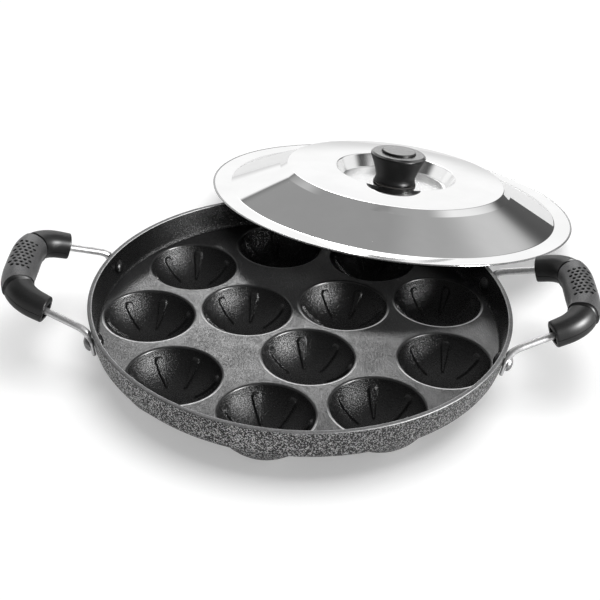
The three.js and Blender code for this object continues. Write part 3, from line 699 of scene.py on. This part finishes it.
def gripStations():
    groove = halfLength - grip["padLength"] / 2
    padStart = groove + grip["grooveWidth"] / 2
    size, arm, bend, pad = grip["round"], grip["armRows"], grip["grooveRows"], grip["padRows"]
    marks = [0, 0.1, 0.25, 0.45, size]
    marks += [size + (groove - 2 * size) * k / arm for k in range(1, arm + 1)]
    marks += [groove + grip["grooveWidth"] * (k / bend - 0.5) for k in range(bend + 1)]
    marks += [padStart + (halfLength - padStart) * k / pad for k in range(1, pad + 1)]
    stations = []
    for at in sorted(marks):
        place, along, out = gripStop(at)
        swell = sin(pi * at / (2 * halfLength))
        width = grip["endWidth"] + (grip["padWidth"] - grip["endWidth"]) * swell
        crown = grip["crown"] + (grip["padCrown"] - grip["crown"]) * swell
        inGroove = max(1 - (abs(at - groove) / (grip["grooveWidth"] / 2)) ** 2, 0) ** 0.5 * grip["grooveDepth"]
        sunk = inGroove + rounding(at, size) - (grip["padLift"] if at > groove else 0)
        stations.append((place, out, width - 2 * sunk, crown - sunk, grip["belly"] - sunk, at - halfLength))
    return stations


def screwSpot(side, height):
    return Vector((handle["reach"] + grip["screwOffset"], side * grip["screwSpacing"] / 2, height))


# upper shell with its pad and dimples, or lower shell with the bores of its screws
def gripShell(way):
    upper = way > 0
    onCrown, padHalf = grip["crownShare"], grip["padLength"] / 2
    holes, pad = set(), set()

    def section(station, share):
        place, out, width, crown, belly, along = station
        height = crown if upper else belly
        depth = 0
        # the first points lie on the crown, the rest on the split face
        if share < onCrown:
            flat = gripPoint(share / (2 * onCrown), width, height - grip["split"])
            y = grip["split"] + flat.y
            if upper and abs(along) < padHalf - grip["dimpleMargin"]:
                depth = dimpleDepth(along, flat.x)
        else:
            x = gripPoint(0.5, width, 1).x * (1 - 2 * (share - onCrown) / (1 - onCrown))
            flat, y = Vector((x, 0)), grip["split"]
        spot = place + out * flat.x + Vector((0, 0, way * (y - depth)))
        if depth > grip["hollowFrom"]:
            holes.add(tuple(spot))
        elif upper and share < onCrown and abs(along) < padHalf - grip["grooveWidth"] / 2:
            pad.add(tuple(spot))
        return spot

    bm = bmesh.new()
    swept(bm, gripStations(), grip["upperSides"] if upper else grip["lowerSides"], section)
    # finish 1 in the dimples, 2 on the rest of the pad, whose lighter colour is a painted sheen
    for face in bm.faces:
        spots = [tuple(vert.co) for vert in face.verts]
        if sum(spot in holes for spot in spots) > 1:
            face.material_index = 1
        elif any(spot in pad for spot in spots):
            face.material_index = 2
    mirrored(bm)
    cleaned(bm, 0.001)
    cutters = bmesh.new()
    place, along, out = gripStop(0)
    size = Matrix.Diagonal((2 * grip["socketDepth"], grip["socket"], grip["socket"], 1))
    for side in (1, -1):
        turn = Matrix.Rotation(atan2(side * along.y, along.x), 4, "Z")
        spot = Matrix.Translation((place.x, side * place.y, 0))
        bmesh.ops.create_cube(cutters, size=1, matrix=spot @ turn @ size)
    if not upper:
        boreTop = grip["sink"] - grip["belly"] + grip["headHeight"] + grip["boreGap"]
        for side in (1, -1):
            spot = Matrix.Translation(screwSpot(side, boreTop - grip["boreDepth"] / 2))
            bmesh.ops.create_cone(cutters, cap_ends=True, segments=grip["screwSteps"], radius1=grip["bore"],
                                  radius2=grip["bore"], depth=grip["boreDepth"], matrix=spot)
    bmesh.ops.recalc_face_normals(cutters, faces=cutters.faces)
    bm = combined(bm, cutters, "DIFFERENCE")
    bmesh.ops.remove_doubles(bm, verts=bm.verts, dist=0.001)
    return bm


def gripScrew(side):
    head, radius, shank = grip["sink"] - grip["belly"], grip["headRadius"], grip["screwRadius"]
    neck = head + grip["headHeight"]
    bm = turned(rounded([
        (0, head, 0), (radius, head, 0.4), (radius, neck, 0.1), (shank, neck, 0),
        (shank, grip["bite"] - shank, 0), (0, grip["bite"], 0),
    ], 4), grip["screwSteps"])
    # the two slots of the cross are cut one after the other
    for turn in (grip["slotTurn"], grip["slotTurn"] + pi / 2):
        slot = bmesh.new()
        spot = Matrix.Translation((0, 0, head)) @ Matrix.Rotation(turn, 4, "Z")
        bmesh.ops.create_cube(slot, size=1, matrix=spot @ Matrix.Diagonal((*grip["slot"], 1)))
        bm = combined(bm, slot, "DIFFERENCE")
    bmesh.ops.translate(bm, vec=screwSpot(side, 0), verts=bm.verts)
    return bm


# the head inside the wall is coated with the pan
def rivetSolid():
    inner = -rivet["wall"] - rivet["innerGap"]
    outer = handle["tabThickness"] + rivet["outerGap"]
    steps = [pi / 2 * k / 8 for k in range(9)]
    profile = [Vector((rivet["head"] * sin(s), inner - rivet["dome"] * cos(s))) for s in steps]
    profile += [Vector((rivet["shank"], inner)), Vector((rivet["shank"], outer))]
    profile += [Vector((rivet["head"] * cos(s), outer + rivet["dome"] * sin(s))) for s in steps]
    bm = turned(profile, rivet["steps"])
    for face in bm.faces:
        face.material_index = 1 if face.calc_center_median().z < inner + 0.01 else 0
    return bm


for name, turn in (("right", Matrix()), ("left", halfTurn)):
    place = panPlace @ turn
    piece = makePiece(handleWire(), f"wire_{name}", place, [rodSteel], 45)
    dress(piece, "pan", [f"handle_wire_{name}"])
    place = place @ handlePlane
    for level, way in (("upper", 1), ("lower", -1)):
        piece = makePiece(gripShell(way), f"grip_{level}_shell_{name}", place, [moulding, hollow, padSheen], 38)
        dress(piece, "pan", [f"grip_{level}_{name}"])
        print(piece.name, len(piece.data.polygons), "faces")
    for number, side, order in ((1, 1, "first"), (2, -1, "second")):
        piece = makePiece(gripScrew(side), f"screw_{order}_{name}", place, [screwSteel])
        dress(piece, "pan", [f"grip_screw_{name}_{number}"])
for name, matrix in (("right_rear", rivetFrame(1)), ("right_front", rivetFrame(-1)),
                     ("left_front", halfTurn @ rivetFrame(1)), ("left_rear", halfTurn @ rivetFrame(-1))):
    piece = makePiece(rivetSolid(), f"stud_{name}", panPlace @ matrix, [studSteel, coating])
    dress(piece, "pan", [f"rivet_{name}"])
print("handles made")


# lid with its knob

lid = {
    "lean": 11.19969, "direction": 68.7, "distance": 156.2, "height": 23.2907, "hole": 2.3, "steps": 360,
    "radius": 117.9, "sheet": 0.8, "rimWidth": 11.5, "rimRound": 2.2,
    "bead": 0.6, "beadSweep": 138, "beadRows": 14, "beadShare": 1.9,
    "shoulder": (75.5, 14.0), "crown": (71.0, 17.2), "stepRound": 1.4, "dome": 1.2,
    "dish": 39, "dishRound": 1.0, "dishFloor": 34.5, "floorRound": 1.2, "dishDepth": 8.4,
    "dull": 0.13, "dullFrom": 3, "dullTo": -1,
}
knob = {
    "base": 13.4, "baseRound": 0.4, "waist": 13.0, "waistAt": 0.25, "neckAt": 0.72, "height": 19.5, "steps": 120,
    "flange": 18, "flangeHeight": 1.8, "flangeRound": 0.5, "top": 16.8, "topRound": 0.8, "gap": 0.3,
    "cap": 10.9, "capRecess": 1.2, "capProud": 1.3, "capRound": 0.8, "capFoot": 0.2,
    "washer": 14.0, "screwWasher": 6, "washerThickness": 0.8, "insert": 4, "insertLength": 10,
    "screw": 2, "bite": 8, "point": 0.8, "head": 4, "headHeight": 2.4, "headRound": 1.1, "neckRound": 0.2,
    "screwSteps": 32,
}
direction = radians(lid["direction"])
lidSpot = (lid["distance"] * cos(direction), lid["distance"] * sin(direction), lid["height"])
lidTurn = Matrix.Rotation(radians(lid["lean"]), 4, (-sin(direction), cos(direction), 0))
lidPlace = panPlace @ Matrix.Translation(lidSpot) @ lidTurn
dishTop = lid["crown"][1] + lid["dome"]
sheetBottom = dishTop - lid["dishDepth"]
sheetTop = sheetBottom + lid["sheet"]
gap, thick = knob["gap"], knob["washerThickness"]
knobBottom = sheetTop + thick + 2 * gap
knobPlace = lidPlace @ Matrix.Translation((0, 0, knobBottom))

# the dish is duller than the rest of the lid
dishMiddle = lidPlace @ Vector((0, 0, sheetBottom))
fromDish = lidSteel.add("VectorMath", {"operation": "DISTANCE"}, {0: lidSteel.place, 1: dishMiddle}, "Value")
dull = fromDish.step((lid["dish"] + lid["dullFrom"]) / 1000, (lid["dish"] + lid["dullTo"]) / 1000)
lidSteel.set("Roughness", 0.02 + 0.02 * brushed.step(0.4, 0.8) + 0.015 * cloud + lid["dull"] * dull)


# the rolled edge is painted darker than the sheet, a painted dark reflection line round the lid
def lidShell():
    radius, bead, sheet = lid["radius"], lid["bead"], lid["sheet"]
    under = rounded([
        (lid["hole"], sheetBottom, 0), (lid["dishFloor"], sheetBottom, lid["floorRound"]),
        (lid["dish"], dishTop, lid["dishRound"]), (*lid["crown"], lid["stepRound"]),
        (*lid["shoulder"], lid["stepRound"]), (radius - lid["rimWidth"], 0, lid["rimRound"]), (radius - 2 * bead, 0, 0),
    ], 8)
    above = [Vector((p.x, p.y + sheet)) for p in reversed(under)]
    sweep = radians(lid["beadSweep"])
    angles = [-sweep + 2 * sweep * k / lid["beadRows"] for k in range(lid["beadRows"] + 1)]
    rolled = [Vector((radius - bead + bead * cos(a), sheet / 2 + bead * sin(a))) for a in angles]
    bm = turned(under + rolled + above, lid["steps"], True)
    for face in bm.faces:
        centre = face.calc_center_median()
        face.material_index = 1 if hypot(centre.x, centre.y) > radius - lid["beadShare"] * bead else 0
    return bm


# the top is polished, the rest is matte
def knobBody():
    flange, height = knob["flange"], knob["height"]
    under = height - knob["flangeHeight"] - (flange - knob["top"])
    middle = under + knob["flangeHeight"] / 2
    waist = smoothLine([
        Vector((knob["base"], knob["flangeHeight"] / 2)), Vector((knob["waist"], under * knob["waistAt"])),
        Vector(((knob["waist"] + flange) / 2, under * knob["neckAt"])), Vector((flange, middle)),
    ], 12)
    recess, pocket = height - knob["capRecess"], knob["cap"] + gap
    edge = rounded([
        (*waist[-2], 0), (flange, middle, 0), (flange, under + knob["flangeHeight"], knob["flangeRound"]),
        (knob["top"], height, knob["topRound"]), (pocket, height, 0.3), (pocket, recess, 0), (0, recess, 0),
    ], 6)
    bore, depth = knob["insert"] + gap, knob["insertLength"] + 2 * gap
    start = [Vector((0, depth)), Vector((bore, depth)), Vector((bore, 0))]
    start += rounded([(0, 0, 0), (knob["base"], 0, knob["baseRound"]), (knob["base"], 1, 0)])[1:]
    bm = turned(start + waist[:-1] + edge[1:], knob["steps"])
    for face in bm.faces:
        face.material_index = 1 if face.normal.z > 0.5 and face.calc_center_median().z > under else 0
    return bm


# only the flat top is polished
def knobCap():
    radius, low, high = knob["cap"], knob["height"] - knob["capRecess"] + gap, knob["height"] + knob["capProud"]
    corners = [(0, low, 0), (radius, low, knob["capFoot"]), (radius, high, knob["capRound"]), (0, high, 0)]
    bm = turned(rounded(corners, 6), knob["steps"])
    for face in bm.faces:
        face.material_index = 0 if face.normal.z > 0.97 else 1
    return bm


def knobScrew():
    neck, end = sheetBottom - thick - 2 * gap, knobBottom + knob["bite"]
    low, shank = neck - knob["headHeight"], knob["screw"]
    return turned(rounded([
        (0, low, 0), (knob["head"], low, knob["headRound"]), (knob["head"], neck, knob["neckRound"]), (shank, neck, 0),
        (shank, end - knob["point"], 0), (shank - knob["point"], end, 0), (0, end, 0),
    ], 6), knob["screwSteps"])


def ring(radius, low, height, edge):
    hole, high = lid["hole"], low + height
    corners = [(hole, low, 0), (radius, low, edge), (radius, high, edge), (hole, high, 0)]
    return turned(rounded(corners, 4), knob["steps"], True)


knobWasher = ring(knob["washer"], sheetTop + gap, thick, 0.25)
screwWasher = ring(knob["screwWasher"], sheetBottom - gap - thick, thick, 0.2)
insert = ring(knob["insert"], gap, knob["insertLength"], 0.3)
for bm, name, place, finishes, slot, node in (
    (lidShell(), "lid_spun", lidPlace, [lidSteel, beadPaintedDark], "lid_steel", "lid_shell"),
    (knobWasher, "knob_pad", lidPlace, [fibre], "fibre", "knob_washer"),
    (screwWasher, "screw_pad", lidPlace, [screwSteel], "screw_steel", "knob_screw_washer"),
    (knobScrew(), "screw_knob", lidPlace, [screwSteel], "screw_steel", "knob_screw"),
    (knobBody(), "knob_turning", knobPlace, [matte, polished], "moulding", "knob_body"),
    (knobCap(), "knob_disc", knobPlace, [polished, matte], "moulding", "knob_cap"),
    (insert, "insert_turning", knobPlace, [brass], "brass", "knob_insert"),
):
    dress(makePiece(bm, name, place, finishes, 50), "lid", [node])
print("lid made")


# floor, light and camera

studio = {
    "floorSize": 4, "floorColour": (0.7, 0.7, 0.7), "floorGlow": 0.36, "floorMirrored": 0.4, "fill": 0.21, "room": 0.06,
    "sun": 2.5, "sunAngle": 46, "sunAzimuth": 88, "sunElevation": 80,
    "boxWatts": 46.0, "boxSize": 0.42, "boxDistance": 1.2, "boxAzimuth": 117, "boxElevation": 20, "middle": 0.02,
    # what the steel mirrors: azimuth from and to, its softness, elevation from and to, its softness, brightness
    "screens": [
        (105, 200, 12, 2, 70, 10, 0.22), (-200, -105, 12, 2, 70, 10, 0.22),
        (-75, 75, 14, 20, 78, 4, 0.31), (18, 75, 8, 20, 78, 12, 0.38),
        (-64, -32, 6, 20, 42, 8, 0.55), (32, 64, 6, 20, 42, 8, 0.6),
        (-84, -50, 7, -20, 56, 8, 0.9), (48, 84, 7, -20, 56, 8, 0.9), (-200, 200, 1, 79, 95, 3, 0.9),
        (18, 42, 4, -10, 12, 12, 0.1), (-52, 17, 3, -90, 19.5, 1, 1.0), (-52, 17, 3, -90, 2.5, 2.5, 0.72),
        (-14, 14, 4, 18, 36, 3, 2.4), (-10, 5, 2.5, 30.5, 36.5, 2, 11.5),
    ],
}
view = {
    "eye": (-0.44, -585.396, 420.97), "target": (-0.44, 23.174, 20.57), "roll": 2.79,
    "lens": 75.55, "sensor": 36, "near": 0.01,
}


# direction to a lamp, by its angle round from straight behind the pan and its height
def towards(azimuth, elevation):
    a, e = radians(azimuth), radians(elevation)
    return Vector((sin(a) * cos(e), cos(a) * cos(e), sin(e)))


# placement of a lamp or camera that looks at a target
def lookAlong(place, target, roll=0.0):
    back = (place - target).normalized()
    right = Vector((0, 0, 1)).cross(back).normalized()
    up = back.cross(right)
    right, up = right * cos(roll) + up * sin(roll), up * cos(roll) - right * sin(roll)
    matrix = Matrix((right, up, back)).transposed().to_4x4()
    matrix.translation = place
    return matrix


# the floor looks white, and the steel mirrors part of that glow
floorFinish = Finish("floor_pale", Metallic=0.0, Roughness=0.9)
floorFinish.set("Specular IOR Level", 0.0)
floorFinish.set("Base Color", studio["floorColour"])
cameraRay, glossyRay = (floorFinish.add("LightPath", output=name) for name in ("Is Camera Ray", "Is Glossy Ray"))
glow = cameraRay + studio["floorMirrored"] * glossyRay
floorFinish.set("Emission Color", floorFinish.mix(glow, (0.0, 0.0, 0.0), (1.0, 1.0, 1.0)))
floorFinish.set("Emission Strength", studio["floorGlow"])
bm = bmesh.new()
bmesh.ops.create_grid(bm, x_segments=1, y_segments=1, size=studio["floorSize"])
floor = makePiece(bm, "floor", Matrix(), [floorFinish])

# white to the camera, screens to the steel, an even fill to the rest
world = bpy.data.worlds.new("studio")
scene.world = world
world.use_nodes = True
sky = Nodes(world.node_tree)
way = sky.add("TexCoord", output="Generated")
wayX, wayY, wayZ = (sky.add("SeparateXYZ", {}, {"Vector": way}, axis) for axis in "XYZ")
azimuth = wayX.calc("ARCTAN2", wayX, wayY) * (180 / pi)
elevation = wayX.calc("ARCSINE", wayZ) * (180 / pi)
cameraRay, glossyRay = (sky.add("LightPath", output=name) for name in ("Is Camera Ray", "Is Glossy Ray"))
reflected = studio["room"]
for left, right, sideSoft, low, high, riseSoft, bright in studio["screens"]:
    screen = azimuth.band(left, right, sideSoft) * elevation.band(low, high, riseSoft)
    reflected = reflected * (1 - screen) + bright * screen
strength = cameraRay + (1 - cameraRay) * (glossyRay * reflected + (1 - glossyRay) * studio["fill"])
background = sky.add("Background", {}, {"Color": (1.0, 1.0, 1.0), "Strength": strength})
output = sky.tree.nodes.new("ShaderNodeOutputWorld")
sky.tree.links.new(background.out, output.inputs[0])
world.cycles.sampling_method = "NONE"

middle = Vector((panPlace.translation.x, panPlace.translation.y, studio["middle"]))
lamp = bpy.data.lights.new("sun", "SUN")
lamp.energy = studio["sun"]
lamp.angle = radians(studio["sunAngle"])
sun = linked("sun", lamp)
sun.matrix_world = lookAlong(middle + towards(studio["sunAzimuth"], studio["sunElevation"]), middle)
sun.visible_glossy = False

lamp = bpy.data.lights.new("box", "AREA")
lamp.shape = "SQUARE"
lamp.size = studio["boxSize"]
lamp.energy = studio["boxWatts"]
box = linked("box", lamp)
boxWay = towards(studio["boxAzimuth"], studio["boxElevation"])
box.matrix_world = lookAlong(middle + boxWay * studio["boxDistance"], middle)
box.visible_diffuse = False

camera = bpy.data.cameras.new("camera")
camera.sensor_width = view["sensor"]
camera.lens = view["lens"]
camera.clip_start = view["near"]
scene.camera = linked("camera", camera)
eye, target = (panPlace @ Vector(view[name]) for name in ("eye", "target"))
scene.camera.matrix_world = lookAlong(eye, target, radians(view["roll"]))
scene.view_settings.view_transform = "Standard"
print("floor, light and camera set")
